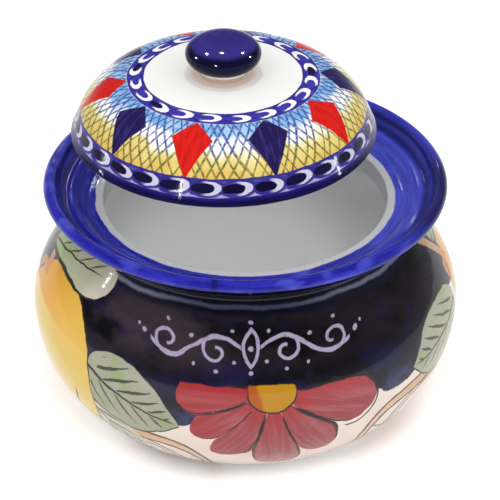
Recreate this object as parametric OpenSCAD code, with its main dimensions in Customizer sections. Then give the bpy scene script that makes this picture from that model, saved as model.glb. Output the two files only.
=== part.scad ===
// Biscuit jar: a round-bellied glazed pot with a flared collar, and a domed
// lid with a mushroom knob, held above the mouth as if just lifted off.
// Origin at the centre of the foot, +Z up, millimetres.

/* [Pot] */
// Height from the foot to the outer edge of the lip
pot_h = 122; // [105:1:150]
// Radius of the flat foot
foot_r = 62; // [50:1:70]
// Width of the ring the pot stands on
foot_ring_w = 9; // [6:0.5:14]
// Height of the turned step at the foot
foot_step = 1.5; // [1:0.1:3]
// Depth of the hollow inside the foot ring
foot_hollow = 1.8; // [1:0.1:3]
// Height of the widest point of the belly
belly_z = 57; // [48:1:64]
// How far the belly stands out past the neck
belly_bulge = 26.8; // [18:0.1:36]
// Depth of the neck below the outer edge of the lip
neck_drop = 18; // [15:0.5:22]
// Wall thickness at the neck
neck_wall = 10.5; // [8:0.5:13]
// Wall thickness of the belly
belly_wall = 6.5; // [4.5:0.5:9]
// Thickness of the pot's floor
floor_t = 8; // [6:0.5:12]

/* [Collar] */
// Clearance around the edge of the seated lid
lid_gap = 2; // [1:0.1:3]
// Width of the flat ledge the lid sits on
seat_w = 7; // [6:0.5:9]
// Depth of the ledge below the outer edge of the lip
seat_drop = 8.7; // [7:0.1:11]
// Width of the sloped part of the collar above the ledge
slope_w = 9; // [7:0.5:12]
// Rise of the sloped part of the collar
slope_rise = 4.8; // [3:0.1:6]
// Width of the groove between the slope and the lip
groove_w = 6.5; // [5:0.5:9]
// Depth of the groove below the ridge beside it
groove_d = 0.7; // [0.3:0.1:1.5]
// Width of the rolled lip
lip_w = 6.8; // [5:0.1:9]
// Height of the lip above its outer edge
lip_rise = 3.5; // [2:0.1:5]
// Rounding below the outer edge of the lip
lip_turn = 1.6; // [1:0.1:2.5]
// Thickness of the collar's wall under the groove
collar_t = 4.5; // [3.5:0.1:6]

/* [Lid] */
// Radius of the lid's edge
lid_r = 75.7; // [68:0.1:84]
// Height of the steep edge below the dome
lid_edge_h = 12.5; // [9:0.5:15]
// How far the steep edge leans in over its height
lid_edge_lean = 5.3; // [3:0.1:8]
// Height of the crown above the lid's underside
crown_h = 30.5; // [26:0.5:36]
// Radius of the nearly flat disc around the knob
crown_r = 37.5; // [32:0.5:44]
// How far the crown disc falls from its centre to its edge
crown_fall = 0.8; // [0.5:0.1:2.5]
// Wall thickness of the lid
lid_wall = 5; // [3.5:0.5:7]
// Rounding at the foot of the lid's edge
lid_round = 1; // [0.5:0.1:2]

/* [Locating ring] */
// Clearance between the ring's root and the throat of the pot
ring_gap = 2.5; // [2:0.1:4]
// Depth of the ring below the lid's underside
ring_d = 6; // [4:0.5:8]
// How far the ring leans in over its depth
ring_lean = 2; // [1:0.1:3]
// Thickness of the ring
ring_t = 4.5; // [3.5:0.5:7]

/* [Knob] */
// Radius of the knob's cap
cap_r = 18.6; // [15:0.1:23]
// Height of the knob's cap
cap_h = 19.4; // [14:0.2:24]
// Radius of the stem where it meets the lid
stem_r = 11.3; // [9:0.1:13]
// Radius of the stem under the cap
stem_top_r = 13; // [10:0.1:14.5]
// Height of the stem up to the underside of the cap
stem_h = 4.2; // [3:0.1:8]
// Width of the flat landing left free around the stem
landing_free = 1; // [0.5:0.1:2]

/* [Lifted lid] */
// Distance the lid is lifted from its seat
lift = 34; // [0:0.5:150]
// Lean of the lift from the vertical, in degrees
lift_lean = 32; // [0:1:35]
// Compass direction of the lean, in degrees from +X
lift_turn = 126; // [0:1:359]
// Clearance under the lid when it is down
seat_gap = 0.2; // [0.1:0.05:0.5]

/* [Hidden] */
round_fn = 180;
curve_steps = 12;
arc_steps = 8;

cobalt = [0.13, 0.12, 0.50];
cream = [0.93, 0.90, 0.82];

// Lid and collar share their radii, from the lid outwards
seat_out_r = lid_r + lid_gap;
throat_r = seat_out_r - seat_w;
ridge_r = seat_out_r + slope_w;
crease_r = ridge_r + groove_w;
rim_r = crease_r + lip_w;
neck_r = throat_r + neck_wall;
belly_r = neck_r + belly_bulge;

seat_z = pot_h - seat_drop;
ridge_z = seat_z + slope_rise;
neck_z = pot_h - neck_drop;
lip_z = pot_h + lip_rise;
crease_z = (ridge_z + lip_z) / 2;

inner_belly_r = belly_r - belly_wall;
inner_foot_r = foot_r - belly_wall;
ring_in_foot_r = foot_r - foot_ring_w;

// Handle lengths of the belly's curves
shoulder_full = (neck_z - belly_z) / 2;
neck_full = 3;
round_full = 0.55;
lip_full = 0.6;
crown_full = 0.55;
shoulder_in = 0.21;
shoulder_up = 0.61;

// Lid sizes above its underside
lid_edge_r = lid_r - lid_edge_lean;
crown_z = crown_h - crown_fall;
landing_r = stem_r + landing_free;
ring_r = throat_r - ring_gap;
ring_tip_r = ring_r - ring_lean;
ring_in_r = ring_tip_r - ring_t;

// Knob sizes above the lid's crown
cap_half = cap_h / 2;
cap_tuck = asin(stem_top_r / cap_r);
cap_z = stem_h + cap_half * cos(cap_tuck);

// Where the lifted lid's underside lies
lid_at = [
    lift * sin(lift_lean) * cos(lift_turn),
    lift * sin(lift_lean) * sin(lift_turn),
    seat_z + seat_gap + lift * cos(lift_lean)
];

// Points of a cubic curve from a to d with handles b and c, without its start
function curve(a, b, c, d, n = curve_steps) = [
    for (i = [1:n]) let (t = i / n, s = 1 - t)
        s * s * s * a + 3 * s * s * t * b + 3 * s * t * t * c + t * t * t * d
];

// Wall of the pot from its widest point down to a foot corner
function low_wall(r, z, corner_r, corner_z) = curve(
    [corner_r, corner_z],
    [corner_r + round_full * (r - corner_r), corner_z],
    [r, z - round_full * (z - corner_z)],
    [r, z]
);

// Wall of the pot from its widest point up to a neck
function high_wall(r, z, top_r, top_z) = curve(
    [r, z],
    [r, z + shoulder_full],
    [top_r, top_z - neck_full],
    [top_r, top_z]
);

// Underside of the collar, from the neck out to the lip
function collar_under() = curve(
    [neck_r, neck_z],
    [neck_r, neck_z + collar_t],
    [crease_r - groove_w / 2, ridge_z - collar_t * 2],
    [rim_r - lip_turn, pot_h - lip_turn]
);

// Rolled lip, from its outer edge over the top to the crease
function lip_roll() = concat(
    [for (i = [1:arc_steps]) let (a = 90 * i / arc_steps)
        [rim_r - lip_turn * (1 - sin(a)), pot_h - lip_turn * cos(a)]],
    curve(
        [rim_r, pot_h],
        [rim_r, pot_h + lip_rise * lip_full],
        [rim_r - lip_w * (1 - lip_full), lip_z],
        [rim_r - lip_w / 2, lip_z],
        arc_steps
    ),
    curve(
        [rim_r - lip_w / 2, lip_z],
        [crease_r + lip_w / 4, lip_z],
        [crease_r, crease_z + lip_rise / 2],
        [crease_r, crease_z],
        arc_steps
    )
);

// Groove, ridge and slope of the collar, from the crease in to the ledge
function collar_inside() = concat(
    curve(
        [crease_r, crease_z],
        [crease_r - groove_w / 3, ridge_z - groove_d],
        [ridge_r + groove_w / 3, ridge_z - groove_d],
        [ridge_r, ridge_z],
        arc_steps
    ),
    curve(
        [ridge_r, ridge_z],
        [ridge_r - slope_w / 3, ridge_z],
        [seat_out_r + slope_w / 3, seat_z],
        [seat_out_r, seat_z],
        arc_steps
    )
);

module jar_outline() {
    polygon(concat(
        [[0, foot_hollow], [ring_in_foot_r, foot_hollow], [ring_in_foot_r, 0]],
        [[foot_r - foot_step / 2, 0], [foot_r, foot_step]],
        low_wall(belly_r, belly_z, foot_r, foot_step),
        high_wall(belly_r, belly_z, neck_r, neck_z),
        collar_under(),
        lip_roll(),
        collar_inside(),
        [[throat_r, seat_z], [throat_r, neck_z]],
        reversed(high_wall(inner_belly_r, belly_z, throat_r, neck_z)),
        [[inner_belly_r, belly_z]],
        reversed(low_wall(inner_belly_r, belly_z, inner_foot_r, floor_t)),
        [[inner_foot_r, floor_t], [0, floor_t]]
    ));
}

// The points of a curve in the other direction, without its last one
function reversed(points) = [for (i = [len(points) - 2:-1:0]) points[i]];

// Pot with its belly, neck, collar and lip
module jar() {
    color(cobalt) rotate_extrude($fn = round_fn) jar_outline();
}

// One side of the dome, from the landing out to the top of the edge
function dome_points(drop, edge_r) = concat(
    [[landing_r, crown_h - drop]],
    curve(
        [landing_r, crown_h - drop],
        [(landing_r + crown_r) / 2, crown_h - drop],
        [(landing_r + 2 * crown_r) / 3, crown_z + crown_fall / 3 - drop],
        [crown_r, crown_z - drop],
        arc_steps
    ),
    curve(
        [crown_r, crown_z - drop],
        [crown_r + crown_full * (edge_r - crown_r), crown_z - crown_fall - drop],
        [
            edge_r - shoulder_in * (edge_r - crown_r),
            lid_edge_h + shoulder_up * (crown_z - drop - lid_edge_h)
        ],
        [edge_r, lid_edge_h]
    )
);

module lid_outline() {
    polygon(concat(
        [[0, crown_h]],
        dome_points(0, lid_edge_r),
        [[lid_r - lid_round / 3, lid_round * 1.5], [lid_r, lid_round]],
        [for (i = [1:arc_steps / 2]) let (a = 180 * i / arc_steps)
            [lid_r - lid_round * (1 - cos(a)), lid_round * (1 - sin(a))]],
        [[ring_r, 0], [ring_tip_r, -ring_d], [ring_in_r, -ring_d]],
        [[ring_in_r, lid_edge_h]],
        reversed(dome_points(lid_wall, ring_in_r)),
        [[0, crown_h - lid_wall]]
    ));
}

// Domed lid with the ring that locates it in the throat of the pot
module lid() {
    color(cream) translate(lid_at) rotate_extrude($fn = round_fn) lid_outline();
}

module knob_outline() {
    polygon(concat(
        [[0, 0], [stem_r, 0]],
        curve(
            [stem_r, 0],
            [stem_r, stem_h / 3],
            [stem_top_r, stem_h * 2 / 3],
            [stem_top_r, stem_h],
            arc_steps
        ),
        [for (i = [1:curve_steps * 2]) let (
            a = cap_tuck + (180 - cap_tuck) * i / (curve_steps * 2)
        ) [cap_r * sin(a), cap_z - cap_half * cos(a)]]
    ));
}

// Mushroom knob, luted to the landing on the lid's crown
module knob() {
    color(cobalt) translate(lid_at + [0, 0, crown_h])
        rotate_extrude($fn = round_fn) knob_outline();
}

jar();
lid();
knob();
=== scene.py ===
import math

import bpy
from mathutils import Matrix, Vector


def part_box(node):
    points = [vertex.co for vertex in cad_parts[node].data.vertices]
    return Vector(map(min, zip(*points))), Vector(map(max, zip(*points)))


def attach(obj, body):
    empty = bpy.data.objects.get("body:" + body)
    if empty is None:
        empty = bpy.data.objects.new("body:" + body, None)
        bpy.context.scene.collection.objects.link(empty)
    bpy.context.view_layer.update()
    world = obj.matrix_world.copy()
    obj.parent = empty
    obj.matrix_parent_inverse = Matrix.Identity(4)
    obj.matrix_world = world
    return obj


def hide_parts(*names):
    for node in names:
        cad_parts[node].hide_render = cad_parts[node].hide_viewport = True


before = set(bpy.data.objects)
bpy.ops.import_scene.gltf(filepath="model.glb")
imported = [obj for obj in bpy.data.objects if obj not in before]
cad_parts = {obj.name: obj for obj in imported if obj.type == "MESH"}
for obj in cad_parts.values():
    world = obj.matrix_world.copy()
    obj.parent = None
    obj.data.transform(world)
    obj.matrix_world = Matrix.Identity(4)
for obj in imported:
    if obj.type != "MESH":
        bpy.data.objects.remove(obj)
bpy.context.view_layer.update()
mm = 0.001
print("frame loaded:", ", ".join(sorted(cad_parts)))


# node helpers: values in a tree that Python's own operators work on

class Field:
    def __init__(self, tree, socket):
        self.tree = tree
        self.socket = socket

    def calc(self, operation, *others):
        return Bench(self.tree).calc(operation, self, *others)

    def __add__(self, other):
        return self.calc("ADD", other)

    def __radd__(self, other):
        return self.calc("ADD", other)

    def __sub__(self, other):
        return self.calc("SUBTRACT", other)

    def __rsub__(self, other):
        return Bench(self.tree).calc("SUBTRACT", other, self)

    def __mul__(self, other):
        return self.calc("MULTIPLY", other)

    def __rmul__(self, other):
        return self.calc("MULTIPLY", other)

    def __truediv__(self, other):
        return self.calc("DIVIDE", other)

    def __rtruediv__(self, other):
        return Bench(self.tree).calc("DIVIDE", other, self)

    def __pow__(self, other):
        return self.calc("POWER", other)

    def __neg__(self):
        return self.calc("MULTIPLY", -1)

    def __abs__(self):
        return self.calc("ABSOLUTE")

    def low(self, other):  # the lower of two
        return self.calc("MINIMUM", other)

    def high(self, other):  # the higher of two
        return self.calc("MAXIMUM", other)

    def smooth(self, start, end, first=0.0, last=1.0):  # eased from first at start to last at end
        settings = {"interpolation_type": "SMOOTHSTEP"}
        return Bench(self.tree).node("ShaderNodeMapRange", self, start, end, first, last, **settings)[0]

    def fade(self, start, end):  # eased from full at start to nothing at end
        return self.smooth(start, end, 1.0, 0.0)

    def ramp(self, start, end, first=0.0, last=1.0):  # straight from first at start to last at end
        return Bench(self.tree).node("ShaderNodeMapRange", self, start, end, first, last)[0]

    def stroke(self, half, soft):  # a line where this distance is under half a width
        return abs(self).fade(half - soft, half + soft)

    def inside(self, soft):  # an area where this depth is above nothing
        return self.smooth(-soft, soft)

    def __invert__(self):  # what a mask leaves out
        return Bench(self.tree).calc("SUBTRACT", 1.0, self)


class Bench:  # adds nodes to one tree
    def __init__(self, tree):
        self.tree = tree

    def feed(self, socket, value):
        if isinstance(value, Field):
            self.tree.links.new(value.socket, socket)
        elif value is not None and socket.type == "RGBA":
            socket.default_value = (*value, 1)
        elif value is not None:
            socket.default_value = value

    def node(self, kind, *values, **settings):  # its outputs, as fields
        made = self.tree.nodes.new(kind)
        for name, value in settings.items():
            setattr(made, name, value)
        for socket, value in zip(made.inputs, values):
            self.feed(socket, value)
        return [Field(self.tree, socket) for socket in made.outputs]

    def calc(self, operation, *values):
        return self.node("ShaderNodeMath", *values, operation=operation)[0]

    def xyz(self, x, y, z=0.0):
        return self.node("ShaderNodeCombineXYZ", x, y, z)[0]

    def split(self, vector):
        return self.node("ShaderNodeSeparateXYZ", vector)[:3]

    def mix(self, share, first, second):  # two colours
        made = self.tree.nodes.new("ShaderNodeMix")
        made.data_type = "RGBA"
        for socket, value in ((0, share), (6, first), (7, second)):
            self.feed(made.inputs[socket], value)
        return Field(self.tree, made.outputs[2])

    def grain(self, vector, scale, detail=2.0, roughness=0.5):  # noise as a value
        return self.node("ShaderNodeTexNoise", vector, None, scale, detail, roughness)[0]

    def drift(self, vector, scale, detail=1.0):  # noise as three values around nothing
        spread = self.node("ShaderNodeTexNoise", vector, None, scale, detail)[1]
        return [value - 0.5 for value in self.split(spread)]

    def chance(self, index, seed):  # one random value for each whole number
        return self.node("ShaderNodeTexWhiteNoise", None, index + seed, noise_dimensions="1D")[0]

    def swell(self, share, points):  # a smooth curve through given points, 0 to 1 both ways
        made = self.tree.nodes.new("ShaderNodeFloatCurve")
        curve = made.mapping.curves[0]
        curve.points[0].location = points[0]
        curve.points[1].location = points[-1]
        for point in points[1:-1]:
            curve.points.new(*point)
        made.mapping.extend = "HORIZONTAL"
        made.mapping.update()
        self.feed(made.inputs["Value"], share)
        return Field(self.tree, made.outputs[0])

    def use(self, group, values):  # a node group, and its outputs by name
        made = self.tree.nodes.new("ShaderNodeGroup")
        made.node_tree = group
        for name, value in values.items():
            self.feed(made.inputs[name], value)
        return {socket.name: Field(self.tree, socket) for socket in made.outputs}


def arrange(tree, column=190, row=170):  # nodes in columns, by their distance from the output
    depth = {node.name: 0 for node in tree.nodes}
    for _ in tree.nodes:
        moved = False
        for link in tree.links:
            if depth[link.from_node.name] <= depth[link.to_node.name]:
                depth[link.from_node.name] = depth[link.to_node.name] + 1
                moved = True
        if not moved:
            break
    filled = {}
    for node in tree.nodes:
        place = depth[node.name]
        filled[place] = filled.get(place, 0) + 1
        node.location = (-place * column, -filled[place] * row)


def makeEffect(name, inputs, outputs, build):  # a shader node group, its inputs with their start values
    tree = bpy.data.node_groups.new(name, "ShaderNodeTree")
    kinds = {float: "NodeSocketFloat", tuple: "NodeSocketColor", type(None): "NodeSocketVector"}
    for label, start in inputs.items():
        socket = tree.interface.new_socket(name=label, in_out="INPUT", socket_type=kinds[type(start)])
        if start is not None:
            socket.default_value = (*start, 1) if isinstance(start, tuple) else start
    for label in outputs:
        kind = kinds[tuple if label == "Colour" else float]
        tree.interface.new_socket(name=label, in_out="OUTPUT", socket_type=kind)
    enter = tree.nodes.new("NodeGroupInput")
    leave = tree.nodes.new("NodeGroupOutput")
    bench = Bench(tree)
    given = {socket.name: Field(tree, socket) for socket in enter.outputs if socket.name}
    for label, value in build(bench, given).items():
        bench.feed(leave.inputs[label], value)
    arrange(tree)
    return tree


def tint(red, green, blue):  # a colour as it shows on a screen, 0 to 255
    def straight(value):
        share = value / 255
        return share / 12.92 if share <= 0.04045 else ((share + 0.055) / 1.055) ** 2.4
    return (straight(red), straight(green), straight(blue))


# outlines of the turned pieces, in millimetres, r out from the axis and z up

potShape = {
    "height": 122.0, "footR": 62.0, "footRingW": 9.0, "footStep": 1.5, "footHollow": 1.8,
    "bellyZ": 57.0, "bellyBulge": 26.8, "neckDrop": 18.0, "neckWall": 10.5, "bellyWall": 6.5,
    "floor": 8.0, "seatGap": 2.0, "seatW": 7.0, "seatDrop": 8.7, "slopeW": 9.0, "slopeRise": 4.8,
    "grooveW": 6.5, "grooveD": 0.7, "lipW": 6.8, "lipRise": 3.5, "lipTurn": 1.6, "collarT": 4.5,
    "cornerSoft": 0.7,
}
lidShape = {
    "edgeR": 75.7, "edgeH": 12.5, "edgeLean": 5.3, "crownH": 30.5, "crownR": 37.5, "crownFall": 0.8,
    "wall": 5.0, "round": 1.0, "ringGap": 2.5, "ringD": 6.0, "ringLean": 2.0, "ringT": 4.5,
    "cornerSoft": 0.6,
}
knobShape = {
    "capR": 18.6, "capH": 19.4, "stemR": 11.3, "stemTopR": 13.0, "stemH": 4.2, "landing": 1.0,
    "cornerSoft": 0.4,
}
# handles of the outlines' curves, as shares or millimetres, and which corners are softened
outlining = {
    "round": 0.55, "neck": 3.0, "lip": 0.6, "shoulderIn": 0.21, "shoulderUp": 0.61,
    "sharpFrom": 24.0, "cutShare": 0.45,
}
facets = {  # steps along each curve
    "belly": 60, "shoulder": 44, "collar": 20, "turn": 8, "lip": 10, "groove": 12, "innerBelly": 34,
    "innerShoulder": 26, "dome": 24, "innerDome": 14, "lidTurn": 4, "stem": 10, "cap": 60,
}


def spot(r, z):
    return Vector((r, z))


def bend(a, b, c, d, count):  # a cubic curve from a to d with handles b and c, without its start
    shares = [i / count for i in range(1, count + 1)]
    return [(1 - t) ** 3 * a + 3 * (1 - t) ** 2 * t * b + 3 * (1 - t) * t * t * c + t**3 * d
            for t in shares]


def quarter(count):  # the angles of a quarter turn, without its start
    return [math.pi / 2 * i / count for i in range(1, count + 1)]


def lowWall(r, z, cornerR, cornerZ, count):  # foot corner up to the widest point
    full = outlining["round"]
    return bend(spot(cornerR, cornerZ), spot(cornerR + full * (r - cornerR), cornerZ),
                spot(r, z - full * (z - cornerZ)), spot(r, z), count)


def highWall(r, z, topR, topZ, count):  # widest point up to the neck
    shoulder = (topZ - z) / 2
    return bend(spot(r, z), spot(r, z + shoulder), spot(topR, topZ - outlining["neck"]), spot(topR, topZ),
                count)


def potOutline(pot, lid):
    seatOutR = lid["edgeR"] + pot["seatGap"]
    throatR = seatOutR - pot["seatW"]
    ridgeR = seatOutR + pot["slopeW"]
    creaseR = ridgeR + pot["grooveW"]
    rimR = creaseR + pot["lipW"]
    neckR = throatR + pot["neckWall"]
    bellyR = neckR + pot["bellyBulge"]
    seatZ = pot["height"] - pot["seatDrop"]
    ridgeZ = seatZ + pot["slopeRise"]
    neckZ = pot["height"] - pot["neckDrop"]
    lipZ = pot["height"] + pot["lipRise"]
    creaseZ = (ridgeZ + lipZ) / 2
    turn = pot["lipTurn"]
    lipR = rimR - pot["lipW"] / 2
    innerBelly = bellyR - pot["bellyWall"]
    innerFoot = pot["footR"] - pot["bellyWall"]
    ringIn = pot["footR"] - pot["footRingW"]
    points = [spot(0, pot["footHollow"]), spot(ringIn, pot["footHollow"]), spot(ringIn, 0)]
    points += [spot(pot["footR"] - pot["footStep"] / 2, 0), spot(pot["footR"], pot["footStep"])]
    points += lowWall(bellyR, pot["bellyZ"], pot["footR"], pot["footStep"], facets["belly"])
    points += highWall(bellyR, pot["bellyZ"], neckR, neckZ, facets["shoulder"])
    points += bend(spot(neckR, neckZ), spot(neckR, neckZ + pot["collarT"]),
                   spot(creaseR - pot["grooveW"] / 2, ridgeZ - 2 * pot["collarT"]),
                   spot(rimR - turn, pot["height"] - turn), facets["collar"])
    points += [spot(rimR - turn * (1 - math.sin(a)), pot["height"] - turn * math.cos(a))
               for a in quarter(facets["turn"])]
    points += bend(spot(rimR, pot["height"]), spot(rimR, pot["height"] + outlining["lip"] * pot["lipRise"]),
                   spot(rimR - (1 - outlining["lip"]) * pot["lipW"], lipZ), spot(lipR, lipZ), facets["lip"])
    points += bend(spot(lipR, lipZ), spot(creaseR + pot["lipW"] / 4, lipZ),
                   spot(creaseR, creaseZ + pot["lipRise"] / 2), spot(creaseR, creaseZ), facets["lip"])
    points += bend(spot(creaseR, creaseZ), spot(creaseR - pot["grooveW"] / 3, ridgeZ - pot["grooveD"]),
                   spot(ridgeR + pot["grooveW"] / 3, ridgeZ - pot["grooveD"]), spot(ridgeR, ridgeZ),
                   facets["groove"])
    points += bend(spot(ridgeR, ridgeZ), spot(ridgeR - pot["slopeW"] / 3, ridgeZ),
                   spot(seatOutR + pot["slopeW"] / 3, seatZ), spot(seatOutR, seatZ), facets["groove"])
    points += [spot(throatR, seatZ), spot(throatR, neckZ)]
    points += highWall(innerBelly, pot["bellyZ"], throatR, neckZ, facets["innerShoulder"])[-2::-1]
    points += [spot(innerBelly, pot["bellyZ"])]
    points += lowWall(innerBelly, pot["bellyZ"], innerFoot, pot["floor"], facets["innerBelly"])[-2::-1]
    return points + [spot(innerFoot, pot["floor"]), spot(0, pot["floor"])]


def domeSide(lid, landingR, drop, edgeR, count):  # the landing out to the top of the edge
    crownH = lid["crownH"] - drop
    crownZ = crownH - lid["crownFall"]
    crownR = lid["crownR"]
    width = edgeR - crownR
    side = [spot(landingR, crownH)]
    side += bend(side[0], spot((landingR + crownR) / 2, crownH),
                 spot((landingR + 2 * crownR) / 3, crownZ + lid["crownFall"] / 3),
                 spot(crownR, crownZ), count)
    shoulder = spot(edgeR - outlining["shoulderIn"] * width,
                    lid["edgeH"] + outlining["shoulderUp"] * (crownZ - lid["edgeH"]))
    return side + bend(side[-1], spot(crownR + outlining["round"] * width, crownZ - lid["crownFall"]),
                       shoulder, spot(edgeR, lid["edgeH"]), 2 * count)


def lidOutline(lid, pot, knob):
    landingR = knob["stemR"] + knob["landing"]
    ringR = lid["edgeR"] + pot["seatGap"] - pot["seatW"] - lid["ringGap"]
    tipR = ringR - lid["ringLean"]
    ringIn = tipR - lid["ringT"]
    points = [spot(0, lid["crownH"])]
    points += domeSide(lid, landingR, 0, lid["edgeR"] - lid["edgeLean"], facets["dome"])
    points += [spot(lid["edgeR"] - lid["round"] / 3, 1.5 * lid["round"]), spot(lid["edgeR"], lid["round"])]
    points += [spot(lid["edgeR"] - lid["round"] * (1 - math.cos(a)), lid["round"] * (1 - math.sin(a)))
               for a in quarter(facets["lidTurn"])]
    points += [spot(ringR, 0), spot(tipR, -lid["ringD"]), spot(ringIn, -lid["ringD"])]
    points += [spot(ringIn, lid["edgeH"])]
    points += domeSide(lid, landingR, lid["wall"], ringIn, facets["innerDome"])[-2::-1]
    return points + [spot(0, lid["crownH"] - lid["wall"])]


def knobOutline(knob):
    half = knob["capH"] / 2
    tuck = math.asin(knob["stemTopR"] / knob["capR"])
    middle = knob["stemH"] + half * math.cos(tuck)
    points = [spot(0, 0), spot(knob["stemR"], 0)]
    points += bend(spot(knob["stemR"], 0), spot(knob["stemR"], knob["stemH"] / 3),
                   spot(knob["stemTopR"], knob["stemH"] * 2 / 3), spot(knob["stemTopR"], knob["stemH"]),
                   facets["stem"])
    angles = [tuck + (math.pi - tuck) * i / facets["cap"] for i in range(1, facets["cap"] + 1)]
    return points + [spot(knob["capR"] * math.sin(a), middle - half * math.cos(a)) for a in angles]


def softened(points, cut):  # each sharp corner rounded off over this length
    done = [points[0]]
    for before, here, after in zip(points, points[1:], points[2:]):
        into, out = here - before, after - here
        if min(into.length, out.length) < 1e-6:  # the same point twice
            continue
        if into.angle(out) < math.radians(outlining["sharpFrom"]):
            done.append(here)
            continue
        start = here - into.normalized() * min(cut, into.length * outlining["cutShare"])
        end = here + out.normalized() * min(cut, out.length * outlining["cutShare"])
        done += [start] + [(1 - t) ** 2 * start + 2 * (1 - t) * t * here + t * t * end
                           for t in (0.25, 0.5, 0.75)] + [end]
    return done + [points[-1]]


def spaced(points, longest):  # long stretches cut into even steps
    done = [points[0]]
    for before, here in zip(points, points[1:]):
        steps = max(1, math.ceil((here - before).length / longest))
        done += [before.lerp(here, i / steps) for i in range(1, steps + 1)]
    return done


def walked(points):  # the distance along an outline at each of its points
    steps = [(b - a).length for a, b in zip(points, points[1:])]
    return [sum(steps[:i]) for i in range(len(points))]


def walkedAt(points, r, z):  # the distance along an outline at its point nearest a spot
    nearest = min(range(len(points)), key=lambda i: (points[i] - spot(r, z)).length)
    return walked(points)[nearest]


# the turned form: one Geometry Nodes tree spins an outline into a closed shell

turning = {
    "segments": 240,  # faces round each piece
    "throwDepth": 0.03 * mm,  # depth of the rings that the potter's fingers leave
    "throwPitch": 5.2 * mm,
    "throwEase": 8.0,  # millimetres over which those rings fade in and out
    "outOfRound": 0.16 * mm,
    "lumpScale": 0.9,
    "mergeWithin": 0.002 * mm,
    "longestStep": 2.4,
    "knobStep": 1.2,
}


def makeTurnedForm():
    tree = bpy.data.node_groups.new("turnedForm", "GeometryNodeTree")
    wanted = [("Outline", "Geometry"), ("Segments", "Int"), ("Centre", "Vector"), ("Throw depth", "Float"),
              ("Throw pitch", "Float"), ("Out of round", "Float"), ("Merge within", "Float"),
              ("Glaze", "Material"), ("Foot glaze", "Material"), ("Foot until", "Float"),
              ("Rim glaze", "Material"), ("Rim from", "Float"),
              ("Inner glaze", "Material"), ("Inner from", "Float")]
    for label, kind in wanted:
        tree.interface.new_socket(name=label, in_out="INPUT", socket_type="NodeSocket" + kind)
    tree.interface.new_socket(name="Form", in_out="OUTPUT", socket_type="NodeSocketGeometry")
    enter = tree.nodes.new("NodeGroupInput")
    leave = tree.nodes.new("NodeGroupOutput")
    given = {socket.name: Field(tree, socket) for socket in enter.outputs if socket.name}
    bench = Bench(tree)

    counts = bench.node("GeometryNodeAttributeDomainSize", given["Outline"])
    sheet = bench.node("GeometryNodeMeshGrid", 1.0, 1.0, counts[0], given["Segments"] + 1)
    across, along, _ = bench.split(bench.node("GeometryNodeInputPosition")[0])
    column = ((across + 0.5) * (counts[0] - 1)).calc("ROUND")

    def fromOutline(name, kind):  # a value of the outline's point in this column
        source = bench.node("GeometryNodeInputPosition")[0]
        if name:
            source = bench.node("GeometryNodeInputNamedAttribute", name, data_type=kind)[0]
        made = tree.nodes.new("GeometryNodeSampleIndex")
        made.data_type = kind
        bench.feed(made.inputs["Geometry"], given["Outline"])
        bench.feed(made.inputs["Value"], source)
        bench.feed(made.inputs["Index"], column)
        return Field(tree, made.outputs["Value"])

    def store(geometry, name, kind, domain, value):
        made = tree.nodes.new("GeometryNodeStoreNamedAttribute")
        made.data_type = kind
        made.domain = domain
        made.inputs["Name"].default_value = name
        bench.feed(made.inputs["Geometry"], geometry)
        bench.feed(made.inputs["Value"], value)
        return Field(tree, made.outputs["Geometry"])

    walk = fromOutline("along", "FLOAT")
    thrown = fromOutline("thrown", "FLOAT")
    outR, _, up = bench.split(fromOutline("", "FLOAT_VECTOR"))
    turn = (along + 0.5) * (2 * math.pi)
    outward = bench.xyz(turn.calc("SINE"), turn.calc("COSINE") * -1, up * 9)
    wave = (walk * (2 * math.pi) / given["Throw pitch"]).calc("SINE") * 0.5 + 0.5
    lump = bench.grain(outward, turning["lumpScale"], 1.0)
    trueR = (outR - thrown * (wave * given["Throw depth"] + lump * given["Out of round"])).high(0.0)
    place = bench.xyz(trueR * turn.calc("SINE"), trueR * turn.calc("COSINE") * -1, up)
    placed = bench.node("ShaderNodeVectorMath", place, given["Centre"], operation="ADD")[0]

    form = store(sheet[0], "along", "FLOAT", "POINT", walk)
    form = store(form, "turned", "FLOAT2", "CORNER", bench.xyz(along + 0.5, walk))
    form = bench.node("GeometryNodeSetPosition", form, None, placed)[0]
    merge = tree.nodes.new("GeometryNodeMergeByDistance")
    bench.feed(merge.inputs["Geometry"], form)
    bench.feed(merge.inputs["Distance"], given["Merge within"])
    form = bench.node("GeometryNodeFlipFaces", Field(tree, merge.outputs[0]))[0]
    smooth = tree.nodes.new("GeometryNodeSetShadeSmooth")
    bench.feed(smooth.inputs["Geometry"], form)
    form = bench.node("GeometryNodeRealizeInstances", Field(tree, smooth.outputs[0]))[0]
    here = bench.node("GeometryNodeInputNamedAttribute", "along", data_type="FLOAT")[0]
    zones = [("Glaze", None), ("Foot glaze", here.calc("LESS_THAN", given["Foot until"])),
             ("Rim glaze", here.calc("GREATER_THAN", given["Rim from"])),
             ("Inner glaze", here.calc("GREATER_THAN", given["Inner from"]))]
    for label, zone in zones:
        form = bench.node("GeometryNodeSetMaterial", form, zone, given[label])[0]
    bench.feed(leave.inputs[0], form)
    arrange(tree)
    return tree


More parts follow.
